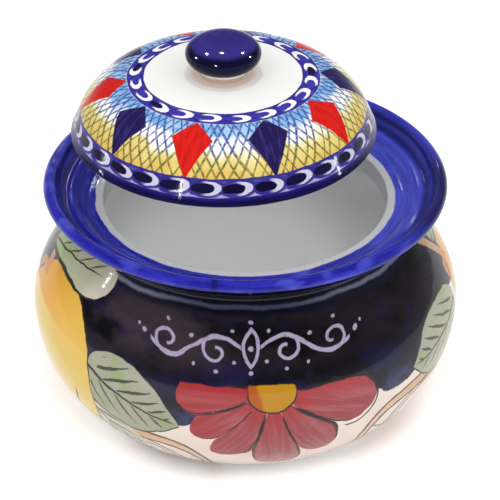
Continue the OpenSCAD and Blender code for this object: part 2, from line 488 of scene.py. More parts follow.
def outlineMesh(name, points, startAt, thrownFrom, thrownUntil):
    walk = walked(points)
    area = sum(a.x * b.y - b.x * a.y for a, b in zip(points, points[1:]))
    order = range(len(points)) if area > 0 else range(len(points) - 1, -1, -1)
    mesh = bpy.data.meshes.new(name)
    mesh.from_pydata([(points[i].x * mm, 0, points[i].y * mm) for i in order],
                     [(i, i + 1) for i in range(len(points) - 1)], [])
    ease = turning["throwEase"]

    def share(z):  # how much the fingers' rings show at this height
        rise = min(1, max(0, (z - thrownFrom) / ease))
        fall = min(1, max(0, (thrownUntil - z) / ease))
        return rise * fall

    for label, values in (("along", [(walk[i] - startAt) * mm for i in order]),
                          ("thrown", [share(points[i].y) for i in order])):
        mesh.attributes.new(label, "FLOAT", "POINT").data.foreach_set("value", values)
    return mesh


turnedForm = makeTurnedForm()


def turnPiece(name, outline, centre, glazes, limits, startAt=0.0, thrown=(0.0, 0.0)):
    mesh = outlineMesh(name + "Outline", outline, startAt, *thrown)
    carrier = bpy.data.objects.new(name + "Outline", mesh)
    bpy.context.scene.collection.objects.link(carrier)
    modifier = carrier.modifiers.new("turned", "NODES")
    modifier.node_group = turnedForm
    values = {"Segments": turning["segments"], "Centre": centre, "Throw depth": turning["throwDepth"],
              "Throw pitch": turning["throwPitch"], "Out of round": turning["outOfRound"],
              "Merge within": turning["mergeWithin"], "Glaze": glazes["main"],
              "Foot glaze": glazes["foot"], "Foot until": limits["foot"] * mm,
              "Rim glaze": glazes["rim"], "Rim from": limits["rim"] * mm,
              "Inner glaze": glazes["inner"], "Inner from": limits["inner"] * mm}
    for item in turnedForm.interface.items_tree:
        if item.in_out == "INPUT" and item.name in values:
            modifier[item.identifier] = values[item.name]
    bpy.context.view_layer.update()
    graph = bpy.context.evaluated_depsgraph_get()
    shell = bpy.data.meshes.new_from_object(carrier.evaluated_get(graph), depsgraph=graph)
    shell.name = name
    bpy.data.objects.remove(carrier)
    piece = bpy.data.objects.new(name, shell)
    bpy.context.scene.collection.objects.link(piece)
    print("turned", name, "with", len(shell.polygons), "faces")
    return piece


# effects that several glazes share

skinLook = {  # scales for each millimetre, depths in millimetres
    "fineScale": 0.55, "fineDepth": 0.006, "paintDepth": 0.05, "pitScale": 0.11, "pitDepth": 0.15,
    "roughScale": 0.12, "roughLow": 0.05, "roughHigh": 0.13, "pitRough": 0.3,
}


def buildGlazeSkin(bench, given):  # the slow waves and pits of a dipped glaze
    place = given["Place"]
    wave = bench.grain(place, 1 / given["Wave length"], 1.5, 0.4)
    fine = bench.grain(place, skinLook["fineScale"], 2.0, 0.5)
    pit = bench.node("ShaderNodeTexVoronoi", place, None, skinLook["pitScale"])[0].fade(0.02, 0.05)
    height = wave * given["Wave height"] + fine * skinLook["fineDepth"]
    height = height + given["Paint"] * skinLook["paintDepth"] - pit * skinLook["pitDepth"]
    rough = bench.grain(place, skinLook["roughScale"], 2.0)
    rough = rough.ramp(0.35, 0.75, skinLook["roughLow"], skinLook["roughHigh"])
    return {"Height": height, "Roughness": rough + pit * skinLook["pitRough"]}


glazeSkin = makeEffect(
    "glazeSkin",
    {"Place": None, "Wave length": 20.0, "Wave height": 0.1, "Paint": 0.0},
    ("Height", "Roughness"),
    buildGlazeSkin,
)


def buildBrushed(bench, given):  # colour laid on with a wide brush, whose bristles leave streaks
    wide = bench.grain(given["Strokes"], 1.0, 2.0, 0.55).smooth(0.36, 0.66)
    fine = bench.grain(given["Strokes"], 4.3, 3.0, 0.65).smooth(0.3, 0.72)
    share = (wide * 0.65 + fine * 0.35) * given["Contrast"]
    return {"Colour": bench.mix(share, given["Deep"], given["Thin"]), "Share": share}


brushed = makeEffect(
    "brushed",
    {"Strokes": None, "Deep": (0, 0, 0), "Thin": (1, 1, 1), "Contrast": 1.0},
    ("Colour", "Share"),
    buildBrushed,
)


def potPlace(bench, centre=(0, 0, 0)):  # millimetres from the piece's own axis, and round it
    coordinates = bench.node("ShaderNodeTexCoord")[3]
    moved = bench.node("ShaderNodeMapping", coordinates, tuple(-value / mm for value in centre),
                       None, (1 / mm,) * 3)[0]
    x, y, z = bench.split(moved)
    radius = (x * x + y * y).calc("SQRT")
    turn = x.calc("ARCTAN2", y * -1)
    walk = Field(bench.tree, bench.node("ShaderNodeAttribute", attribute_name="along")[2].socket) * (1 / mm)
    return moved, radius, turn, walk, z


def makeGlaze(name, paint, waveLength=20.0, waveHeight=0.10, shine=0.35):
    material = bpy.data.materials.new(name)
    material.use_nodes = True
    tree = material.node_tree
    shader = tree.nodes["Principled BSDF"]
    bench = Bench(tree)
    place, colour, raised = paint(bench)
    skin = bench.use(glazeSkin, {"Place": place, "Wave length": waveLength, "Wave height": waveHeight,
                                 "Paint": raised})
    bump = tree.nodes.new("ShaderNodeBump")
    bump.inputs["Distance"].default_value = mm
    bench.feed(bump.inputs["Height"], skin["Height"])
    bench.feed(shader.inputs["Base Color"], colour)
    bench.feed(shader.inputs["Roughness"], skin["Roughness"])
    bench.feed(shader.inputs["Normal"], Field(tree, bump.outputs[0]))
    shader.inputs["IOR"].default_value = 1.5
    shader.inputs["Specular IOR Level"].default_value = shine
    arrange(tree)
    return material


# painted motifs, each in its own millimetres

leafTints = {"pale": tint(166, 166, 146), "green": tint(146, 163, 108), "cream": tint(216, 206, 192),
             "line": tint(46, 48, 32), "fresh": tint(158, 186, 112), "light": tint(192, 192, 164)}
leafProfiles = {  # half width along a leaf from its stem end, both as shares
    "sharp": [(0, 0.3), (0.08, 0.66), (0.22, 0.92), (0.45, 1), (0.65, 0.9), (0.82, 0.58), (0.94, 0.22),
              (1, 0)],
    "blunt": [(0, 0.35), (0.1, 0.6), (0.3, 0.79), (0.55, 0.86), (0.78, 1), (0.92, 0.82), (0.98, 0.42),
              (1, 0)],
}
leafVeins = {"slant": 1.35, "pitch": 0.165, "reach": 0.68, "uneven": 0.2, "half": 0.88}


def buildLeaf(bench, given):
    along, across, blunt = given["Along"], given["Across"], given["Blunt"]
    share = along / given["Length"]
    sharpHalf = bench.swell(share, leafProfiles["sharp"])
    bluntHalf = bench.swell(share, leafProfiles["blunt"])
    half = (sharpHalf + (bluntHalf - sharpHalf) * blunt) * given["Half width"]
    depth = half - abs(across)
    inLength = share.smooth(0.0, 0.008) * share.fade(0.992, 1.0)
    fill = depth.inside(0.35) * inLength

    # veins either side of the rib, each with its own reach
    fromRib = across - blunt * share.smooth(0.15, 0.9, -2.5, 3.0)
    lower = (fromRib * given["Edge side"]).smooth(-0.1, 0.1)
    pitch = given["Length"] * (leafVeins["pitch"] + lower * 0.02)
    beat = (along - abs(fromRib) * leafVeins["slant"]) / pitch + 0.35 + lower * 0.3 + given["Seed"]
    luck = bench.chance(beat.calc("FLOOR") + lower * 31, given["Seed"])
    reach = luck * leafVeins["uneven"] + leafVeins["reach"]
    outness = abs(fromRib) / half.high(1.0)
    taper = outness.smooth(0.04, 0.3, 0.5, 1) * outness.smooth(reach - 0.4, reach, 1, 0.3)
    weight = (leafVeins["half"] - lower * 0.2) * (1 - blunt * 0.3) * taper
    vein = ((beat.calc("FRACT") - 0.5) * pitch * 0.6).stroke(weight, 0.2) * (1 - lower * blunt)
    vein = vein * outness.fade(reach - 0.03, reach + 0.03) * outness.smooth(0.05, 0.09)
    vein = vein * share.smooth(0.1, 0.13) * share.fade(0.88, 0.92)
    ribHalf = share.ramp(0, 1, 0.85, 0.5) - blunt * 0.2
    rib = fromRib.stroke(ribHalf, 0.2) * share.smooth(0.0, 0.04) * share.fade(0.9, 0.97)
    edgeHalf = blunt * share.smooth(0.6, 0.85, 0.5, 0) + 0.55
    edge = (depth + 0.1).stroke(edgeHalf, 0.22) * share.smooth(-0.01, 0.01) * share.fade(0.99, 1.01)
    edge = edge * (0.1 + lower * 0.9)

    wash = bench.grain(bench.xyz(along * 0.045, across * 0.08, given["Seed"]), 1.0, 2.0, 0.6)
    young = bench.mix(share.smooth(0.1, 0.6), leafTints["fresh"], leafTints["light"])
    colour = bench.mix(wash.smooth(0.46, 0.7), leafTints["pale"], leafTints["green"])
    colour = bench.mix(blunt * 0.85, colour, young)
    end = blunt * share.smooth(0.72, 0.9)
    colour = bench.mix((end * 0.75).high(given["Faded"]), colour, leafTints["cream"])
    line = (vein * (1 - end) * 0.9).high(rib * (1 - end)).high(edge)
    return {"Fill": fill, "Colour": colour, "Line": line}


leafPaint = makeEffect(
    "leafPaint",
    {"Along": 0.0, "Across": 0.0, "Length": 60.0, "Half width": 16.0, "Edge side": 1.0, "Blunt": 0.0,
     "Seed": 0.0, "Faded": 0.0},
    ("Fill", "Colour", "Line"),
    buildLeaf,
)

lemonTints = {"pale": tint(238, 219, 130), "yellow": tint(227, 187, 84), "orange": tint(225, 160, 32),
              "peach": tint(228, 184, 100), "stalk": tint(190, 112, 46)}
lemonProfile = [(0, 0.05), (0.03, 0.11), (0.07, 0.24), (0.14, 0.56), (0.27, 0.86), (0.46, 1), (0.66, 0.96),
                (0.82, 0.74), (0.93, 0.44), (0.98, 0.2), (1, 0)]  # half width from the stalk, as shares
lemonTilt = (0.82, 0.57)  # cosine and sine from the lemon's length to the level of its crown
lemonCrown = 16.0  # millimetres above the middle where the orange crown starts


def buildLemon(bench, given):
    along, across = given["Along"], given["Across"]
    share = along / given["Length"] + 0.5
    depth = bench.swell(share, lemonProfile) * given["Half width"] - abs(across)
    fill = depth.inside(0.35) * share.smooth(0, 0.008) * share.fade(0.992, 1.0)
    streaks = bench.grain(bench.xyz(along * 0.012, across * 0.05, 3.0), 1.0, 2.0, 0.5)
    colour = bench.mix(streaks.smooth(0.3, 0.6), lemonTints["yellow"], lemonTints["pale"])
    # one side is left paler than the other as a painted highlight
    colour = bench.mix((across - 2).smooth(-26, 24) * 0.8, colour, lemonTints["yellow"])
    level = across * lemonTilt[0] - along * lemonTilt[1]
    side = along * lemonTilt[0] + across * lemonTilt[1]
    crown = (level - lemonCrown + side * 0.07 + streaks * 5 - 2.5).smooth(-0.9, 0.9)
    crown = crown * side.smooth(-14, 24, 0.95, 0.35)
    colour = bench.mix(crown, colour, lemonTints["orange"])
    colour = bench.mix(level.smooth(-38, -24, 0.6, 0), colour, lemonTints["peach"])
    colour = bench.mix(share.fade(0.05, 0.12) * 0.8, colour, lemonTints["stalk"])

    # the outline on one side, a nick below the stalk, and a fold near the blossom end
    edge = (depth + 0.15).stroke(0.55, 0.25) * across.smooth(-14, 4) * share.smooth(0.3, 0.4)
    nick = (share - 0.065 - across * 0.002).stroke(0.007, 0.003) * (abs(across + 2) - 5).fade(-0.6, 0.6)
    inset = (along * along + across * across).calc("SQRT") + across * 0.25 - 32.3
    fold = inset.stroke(0.75, 0.25) * (across + 14).stroke(19, 3) * along.smooth(8, 12)
    return {"Fill": fill, "Colour": colour, "Line": edge.high(nick).high(fold * 0.95)}


lemonPaint = makeEffect(
    "lemonPaint",
    {"Along": 0.0, "Across": 0.0, "Length": 94.0, "Half width": 40.0},
    ("Fill", "Colour", "Line"),
    buildLemon,
)

daisyShape = {"half": 10.8, "spread": 32.7, "heart": 11.0, "crowding": 0.97}
daisyPetals = [  # degrees from straight down, number, length
    (-105, -3.6, 46), (-85, -3, 46), (-54.5, -2, 47), (-33, -1, 49), (6, 0, 57), (34, 1, 52), (73, 2, 56),
    (92, 2.5, 56), (110, 3.3, 56),
]
petalProfile = [(0, 0.1), (0.2, 0.3), (0.42, 0.66), (0.66, 0.96), (0.78, 1), (0.9, 0.8), (0.97, 0.42), (1, 0)]
daisyTints = {"rose": tint(154, 63, 67), "red": tint(165, 34, 40), "blush": tint(170, 93, 97),
              "sun": tint(184, 131, 16), "ember": tint(174, 84, 22)}


def buildDaisy(bench, given):
    right, up = given["Right"], given["Up"]
    petalHalf, spread = daisyShape["half"], math.radians(daisyShape["spread"])
    reach = (right * right + up * up).calc("SQRT")
    degrees = right.calc("ARCTAN2", up * -1) * (180 / math.pi)
    turns = [((angle + 120) / 240, (number + 4) / 8) for angle, number, _ in daisyPetals]
    beat = bench.swell((degrees + 120) / 240, turns) * 8 - 4
    number = beat.calc("ROUND").low(2).high(-3)
    luck = bench.chance(number, given["Seed"] + 40.5)
    lengths = [((number + 4) / 8, length / 100) for _, number, length in daisyPetals]
    long = bench.swell((number + 4) / 8, lengths) * 100
    share = reach / long
    half = bench.swell(share, petalProfile) * petalHalf
    half = half.low(reach * (spread / 2) * daisyShape["crowding"])
    across = ((beat - number) * spread).calc("SINE") * reach
    fill = (half - abs(across)).inside(0.4) * share.fade(0.985, 1.0)

    # brush lines, a little off the petals' edges
    inkAcross = across + (luck * 1.8 - 0.9) * share.smooth(0.5, 0.9)
    thick = 0.34 + (inkAcross * (number.smooth(-1.2, -0.8) * 2 - 1)).smooth(-1, 5) * 0.5
    edge = ((half - abs(inkAcross) - 0.1) / thick).stroke(1.0, 0.5) * share.smooth(0.2, 0.3)
    edge = edge * (share + luck * 0.2 - inkAcross * 0.012).fade(1.02, 1.1)
    pastEnd = (reach - long + petalHalf).high(0)
    around = (pastEnd * pastEnd + (across + 1.4) * (across + 1.4)).calc("SQRT") - petalHalf - 1.0
    edge = edge.high(around.stroke(0.48, 0.2) * number.smooth(1.4, 1.6) * share.smooth(0.5, 0.6))

    streaks = bench.grain(bench.xyz(reach * 0.03, across * 0.34, number * 3.7), 1.0, 3.0, 0.6)
    colour = bench.mix(streaks.smooth(0.4, 0.68), daisyTints["rose"], daisyTints["blush"])
    glow = (streaks * 0.8 + up * 0.032 - share * 0.12).smooth(0.0, 0.5).high(share.smooth(0.22, 0.5, 0.8, 0))
    glow = glow.high(right.smooth(-40, -10, 0.7, 0))
    colour = bench.mix(glow * 0.85, colour, daisyTints["red"])
    heartDepth = daisyShape["heart"] - reach
    heart = heartDepth.inside(0.35)
    warm = bench.grain(bench.xyz(right * 0.1, up * 0.06, given["Seed"]), 1.0, 1.5) * 5
    warm = (warm - right * 0.55 - up * 0.12).smooth(4.6, 6.2)
    colour = bench.mix(heart, colour, bench.mix(warm, daisyTints["sun"], daisyTints["ember"]))
    ring = heartDepth.stroke(0.45, 0.2) * up.smooth(-3, 3, 1, 0.3)
    return {"Fill": fill.high(heart), "Colour": colour, "Line": (edge * ~heart).high(ring)}


daisyPaint = makeEffect(
    "daisyPaint",
    {"Right": 0.0, "Up": 0.0, "Seed": 0.0},
    ("Fill", "Colour", "Line"),
    buildDaisy,
)

scrollTints = {"ochre": tint(212, 164, 118), "brown": tint(96, 68, 44)}


def buildScroll(_, given):  # an open ring with thick ends, drawn double, round a finer ring
    size = (given["Half length"] + given["Half width"]) / 2
    out, up = given["Along"] / given["Half length"], given["Across"] / given["Half width"]
    reach = (abs(out) ** 3 + abs(up) ** 3) ** (1 / 3)
    back = abs(up.calc("ARCTAN2", out * -1)) / math.pi
    band = back.smooth(0.05, 0.55, 0.13, 0.3) * back.fade(0.7, 0.79)
    depth = (band / 2 - abs(reach - 1 + band / 2)) * size
    wash = depth.inside(0.25) * back.smooth(0.2, 0.5, 0.6, 0.95)
    lines = depth.stroke(0.85, 0.25) * back.fade(0.76, 0.8)
    shifted = out - 0.14
    innerReach = ((shifted * shifted * 2.2) + (up * up * 2.0)).calc("SQRT")
    innerBack = abs(up.calc("ARCTAN2", shifted * -1)) / math.pi
    inner = (abs(innerReach - 1) - 0.09).stroke(1.0 / 24, 0.35 / 24) * innerBack.fade(0.66, 0.72)
    hook = (up + (out + 0.66) * 0.9 - 0.1).stroke(0.8 / 30, 0.25 / 30) * (out + 0.66).stroke(0.16, 0.02)
    return {"Wash": wash, "Line": lines.high(inner * 0.9).high(hook)}


scrollPaint = makeEffect(
    "scrollPaint",
    {"Along": 0.0, "Across": 0.0, "Half length": 36.0, "Half width": 26.0},
    ("Wash", "Line"),
    buildScroll,
)


# the pot: navy above, cream below, with flowers, lemons and leaves between

potTints = {
    # the bare tint on this line is painted light from the floor, paler towards the foot
    "cream": tint(238, 223, 212), "blush": tint(232, 209, 198), "bare": tint(253, 250, 246),
    # the neck tint on this line is painted shade under the collar
    "night": tint(9, 8, 14), "navy": tint(20, 17, 56), "umber": tint(65, 51, 59), "neck": tint(5, 6, 24),
    "thinNavy": tint(52, 58, 104), "ink": tint(40, 31, 33), "lilac": tint(166, 154, 180),
    # the ring tint and the two side tints on this line are painted reflection round the neck
    "ring": tint(84, 86, 118), "neckSideReflection": tint(36, 40, 62), "ringSideReflection": tint(146, 147, 168),
    "stalk": tint(206, 160, 126), "stalkLow": tint(206, 132, 52),
}
# the painting runs twice round the pot, each time from a lemon: its degrees and its stretch
rounds = [{"start": -66.0, "stretch": 1.0, "seed": 3.0}, {"start": 103.0, "stretch": 191 / 169, "seed": 11.0}]
groundEdge = [  # lower edge of the navy ground: degrees past the lemon, millimetres up the wall
    (-13, 111), (-5, 113), (3, 98), (21, 88), (33, 90), (43, 80), (47.5, 69), (53, 73), (57, 79), (62, 88),
    (80, 90), (90, 86), (98, 82), (102.5, 79), (106, 75), (110.5, 75), (114.8, 77.5), (119, 86), (128, 92),
    (141, 96), (151, 96),
]
# all in millimetres up the wall: the top of the painting, and where parts of it come and go; the bare zone is
# painted light from the floor, paler towards the foot
wallTop = 160.0
wallZones = {"bare": (8, 42), "thin": (86, 96), "cloud": (94, 110), "lip": (134, 136)}
# the painter's unsteady hand, and where each motif sits: degrees past the lemon, millimetres up the wall
potHand = {"wander": 4.0, "wanderScale": 0.05, "tremor": 0.7, "tremorScale": 0.33}
# where the neck's band of painted shade lies, and its ring of painted reflection
neckBand = {"from": 126.0, "until": 130.0, "ring": 131.8, "ringHalf": 0.95}
daisyPose = {"past": 72.7, "height": 91.4, "cut": 94.8}
lemonPose = {"past": -0.8, "height": 77.0, "lean": -35.0, "length": 92.0, "half": 39.0}
stalkPose = {"past": -14.5, "height": 105.0, "slant": 0.6, "half": 3.2}
backLeaves = [
    {"past": 20.0, "height": 86.5, "lean": -18.5, "length": 57.0, "half": 18.3, "side": -1.0,
     "blunt": 0.0, "bow": 0.002, "faded": 0.0},
    {"past": 145.0, "height": 89.0, "lean": -171.0, "length": 58.0, "half": 17.5, "side": 1.0,
     "blunt": 0.0, "bow": -0.002, "faded": 0.0},
    {"past": 18.0, "height": 68.0, "lean": -52.0, "length": 56.0, "half": 13.0, "side": -1.0,
     "blunt": 0.0, "bow": -0.003, "faded": 0.7},
]
frontLeaves = [
    {"past": -24.0, "height": 117.5, "lean": 5.0, "length": 67.0, "half": 10.6, "side": -1.0,
     "blunt": 1.0, "bow": -0.003, "faded": 0.0, "shift": 10.0},
]
scrollPoses = [
    {"past": 35.0, "height": 33.0, "lean": 180.0, "length": 33.0, "half": 25.0},
    {"past": 121.2, "height": 47.0, "lean": 6.0, "length": 36.5, "half": 25.5},
]
potOutlinePoints = spaced(softened(potOutline(potShape, lidShape), potShape["cornerSoft"]),
                          turning["longestStep"])
footCorner = walkedAt(potOutlinePoints, potShape["footR"], potShape["footStep"])
throatR = lidShape["edgeR"] + potShape["seatGap"] - potShape["seatW"]
rimR = throatR + sum(potShape[part] for part in ("seatW", "slopeW", "grooveW", "lipW"))
lipTurn = potShape["lipTurn"]
lipEdge = walkedAt(potOutlinePoints, rimR - lipTurn, potShape["height"] - lipTurn) - footCorner
ledgeInner = walkedAt(potOutlinePoints, throatR, potShape["height"] - potShape["neckDrop"]) - footCorner


def nearestRound(turn, past, shift=0.0):  # the way to the closer of a motif's two places, and its seed
    offs = []
    for each, moved in zip(rounds, (0.0, shift)):
        middle = math.radians(each["start"] + past * each["stretch"] + moved)
        offs.append((turn - middle).calc("WRAP", math.pi, -math.pi))
    second = abs(offs[1]).calc("LESS_THAN", abs(offs[0]))
    off = offs[0] + (offs[1] - offs[0]) * second
    return off, second * (rounds[1]["seed"] - rounds[0]["seed"]) + rounds[0]["seed"]


def posed(turn, walk, radius, pose):  # along and across a leaning motif
    off, seed = nearestRound(turn, pose["past"], pose.get("shift", 0.0))
    right = off * radius
    up = walk - pose["height"]
    lean = math.radians(pose["lean"])
    level, steep = math.cos(lean), math.sin(lean)
    return right * level + up * steep, up * level - right * steep, seed


flourish = {  # millimetres from its middle, on the right-hand side
    "turn": 1.5, "height": 112.5, "half": 0.85, "wave": 5.5, "waveLength": 46.0, "start": 4.0, "end": 49.0,
    "curls": [(17.0, -1.0, 1), (40.0, 1.0, -1)], "curlPitch": 0.8, "curlStart": 130.0, "curlEnd": 9.4,
    "budR": 13.0, "budOff": 9.5,
    "dots": [(0, 0, 1.2), (0, 12.4, 1.1), (0, -12.0, 1.1), (8.5, 8.2, 0.9), (28.4, 4.4, 1.0),
             (27.4, -8.6, 0.8), (16.8, -10.4, 0.9), (39.8, 10.2, 0.9), (52.0, 1.6, 1.2), (55.2, 4.0, 0.8),
             (8.0, -6.6, 0.9)],
}


def vineScroll(right, up):  # pale waves and curls either side of a bud
    out = abs(right)
    half, pitch, budOff = flourish["half"], flourish["curlPitch"], flourish["budOff"]
    wave = ((out - flourish["start"]) * (2 * math.pi / flourish["waveLength"])).calc("SINE")
    marks = ((up - wave * flourish["wave"]) * 0.84).stroke(half, 0.25)
    marks = marks * (out - flourish["start"]).smooth(0, 1) * (out - flourish["end"]).fade(-1, 0)
    for x, y, way in flourish["curls"]:
        across, rise = out - x, (up - y) * way
        swing = rise.calc("ARCTAN2", across) + (flourish["curlEnd"] - math.radians(flourish["curlStart"]))
        distance = (across * across + rise * rise).calc("SQRT")
        lap = ((distance / pitch - swing) / (2 * math.pi)).calc("ROUND")
        unwound = swing + lap * (2 * math.pi)
        line = (distance - unwound * pitch).stroke(half * 0.9, 0.25)
        marks = marks.high(line * unwound.smooth(2.2, 2.6) * unwound.fade(9.3, 9.5))
    fromBud = ((out + budOff) * (out + budOff) + up * up).calc("SQRT") - flourish["budR"]
    marks = marks.high(fromBud.stroke(half * 0.9, 0.25))
    for x, y, size in flourish["dots"]:
        gap = ((out - x) * (out - x) + (up - y) * (up - y)).calc("SQRT")
        marks = marks.high((size - gap).inside(0.3))
    return marks


def layLeaf(bench, colour, turn, walk, radius, pose):
    along, across, seed = posed(turn, walk, radius, pose)
    bowed = across + along * (pose["length"] - along) * pose["bow"]
    leaf = bench.use(leafPaint, {"Along": along, "Across": bowed, "Length": pose["length"],
                                 "Half width": pose["half"], "Edge side": pose["side"],
                                 "Blunt": pose["blunt"], "Faded": pose["faded"], "Seed": seed})
    colour = bench.mix(leaf["Fill"], colour, leaf["Colour"])
    return bench.mix(leaf["Line"], colour, leafTints["line"]), leaf["Line"]


def paintPot(bench):
    place, radius, turn, walk, _ = potPlace(bench)
    shakeX, shakeY, _ = bench.drift(place, potHand["wanderScale"], 2.0)
    tremorX, tremorY, _ = bench.drift(place, potHand["tremorScale"], 1.0)
    turn = turn + (shakeX * potHand["wander"] + tremorX * potHand["tremor"]) / radius
    walk = walk + shakeY * potHand["wander"] + tremorY * potHand["tremor"]

    # cream ground with its scrolls, painted paler towards the foot as light from the floor
    ground = bench.grain(place, 0.03, 2.0, 0.5).smooth(0.35, 0.7)
    colour = bench.mix(ground, potTints["cream"], potTints["blush"])
    colour = bench.mix(walk.fade(*wallZones["bare"]), colour, potTints["bare"])
    for pose in scrollPoses:
        along, across, _ = posed(turn, walk, radius, pose)
        scroll = bench.use(scrollPaint, {"Along": along, "Across": across, "Half length": pose["length"],
                                         "Half width": pose["half"]})
        colour = bench.mix(scroll["Wash"], colour, scrollTints["ochre"])
        colour = bench.mix(scroll["Line"], colour, scrollTints["brown"])

    # navy ground, down to its wavy edge, with blots, brown clouds and thin places
    spots = []
    for each in rounds:
        for past, height in groundEdge:
            degrees = (each["start"] + past * each["stretch"] + 180) % 360
            spots.append((degrees / 360, height / wallTop))
    spots.sort()
    join = (spots[0][1] + spots[-1][1]) / 2
    share = turn / (2 * math.pi) + 0.5
    edge = bench.swell(share, [(0, join)] + spots + [(1, join)]) * wallTop
    above = walk - edge + bench.grain(place, 0.7, 2.0) * 1.4 - 0.7
    navy = above.inside(0.4)
    strokes = bench.node("ShaderNodeVectorMath", place, (0.028, 0.028, 0.06), operation="MULTIPLY")[0]
    blotch = bench.grain(strokes, 1.0, 4.0, 0.62)
    navyColour = bench.mix(blotch.smooth(0.45, 0.65), potTints["night"], potTints["navy"])
    cloud = bench.grain(strokes, 0.9, 3.0, 0.55).smooth(0.36, 0.54)
    cloud = cloud * (turn + 0.61).calc("COSINE").smooth(0.82, 1, 0.22, 0.85)
    navyColour = bench.mix(cloud * walk.smooth(*wallZones["cloud"]), navyColour, potTints["umber"])
    thin = above.fade(4.0, 14.0) * bench.grain(place, 0.06, 3.0, 0.6).smooth(0.44, 0.56)
    thin = thin * walk.smooth(*wallZones["thin"], 0.75, 0.2)
    navyColour = bench.mix(thin, navyColour, potTints["thinNavy"])
    colour = bench.mix(navy, colour, navyColour)
    raised = navy * 0.5

    # daisies, cut off straight at the top
    off, seed = nearestRound(turn, daisyPose["past"])
    up = walk - daisyPose["height"]
    daisy = bench.use(daisyPaint, {"Right": off * radius, "Up": up, "Seed": seed})
    belowCut = (walk - daisyPose["cut"]).fade(-0.4, 0.4)
    colour = bench.mix(daisy["Fill"] * belowCut, colour, daisy["Colour"])
    colour = bench.mix(daisy["Line"] * belowCut, colour, potTints["ink"])
    raised = raised + daisy["Fill"] * belowCut * 0.3

    # leaves and lemons
    for pose in backLeaves[::-1]:
        colour, line = layLeaf(bench, colour, turn, walk, radius, pose)
        raised = raised + line * 0.5
    along, across, _ = posed(turn, walk, radius, lemonPose)
    lemon = bench.use(lemonPaint, {"Along": along, "Across": across, "Length": lemonPose["length"],
                                   "Half width": lemonPose["half"]})
    colour = bench.mix(lemon["Fill"], colour, lemon["Colour"])
    colour = bench.mix(lemon["Line"], colour, potTints["ink"])

    # the neck painted dark as the shade under the collar, and a thin pale ring painted as the reflection
    # round it, both paler towards the sides as painted reflection
    band = walk.smooth(neckBand["from"], neckBand["until"])
    sideReflection = turn.calc("COSINE").smooth(0.8, 1, 1, 0)
    colour = bench.mix(band, colour, bench.mix(sideReflection * 0.6, potTints["neck"], potTints["neckSideReflection"]))
    ring = (walk - neckBand["ring"]).stroke(neckBand["ringHalf"], 0.8)
    colour = bench.mix(ring * 0.8, colour, bench.mix(sideReflection, potTints["ring"], potTints["ringSideReflection"]))

    # stalks and the leaves that hang over the neck
    off, _ = nearestRound(turn, stalkPose["past"])
    height = walk - stalkPose["height"]
    fromStalk = off * radius + height * stalkPose["slant"]
    stalk = fromStalk.stroke(stalkPose["half"], 0.4) * (height + 3).smooth(-1, 1)
    stalkColour = bench.mix(height.smooth(2, 8), potTints["stalkLow"], potTints["stalk"])
    colour = bench.mix(stalk * walk.fade(*wallZones["lip"]), colour, stalkColour)
    for pose in frontLeaves:
        colour, line = layLeaf(bench, colour, turn, walk, radius, pose)
        raised = raised + line * 0.5

    right = (turn - math.radians(flourish["turn"])) * radius
    vine = vineScroll(right, walk - flourish["height"])
    vine = vine * bench.grain(place, 0.5, 2.0).smooth(0.25, 0.5, 0.7, 1)
    colour = bench.mix(vine, colour, potTints["lilac"])
    return place, colour, raised + vine


# collar, inside and foot of the pot

collarTints = {"deep": tint(23, 21, 128), "royal": tint(50, 51, 180), "light": tint(84, 94, 213),
               # the wet tint on this line is partly painted shade of the lid
               "groove": tint(20, 20, 84), "wetAndShaded": tint(10, 12, 138), "worn": tint(120, 120, 150),
               "white": tint(196, 197, 198), "darkened": tint(24, 21, 62)}
collarMarks = {"creaseR": 93.2, "ledgeR": 74.6, "lipR": 94.5, "notch": 8.3}  # radii, degrees to the left
collarPatches = {  # where each is strongest, in radians to the right, and the radius where it changes
    "dry": (1.75, 88), "wetAndShaded": (1.3, 90), "darkened": (1.35, 93),  # wet counts to the left, and also carries painted shade of the lid
}


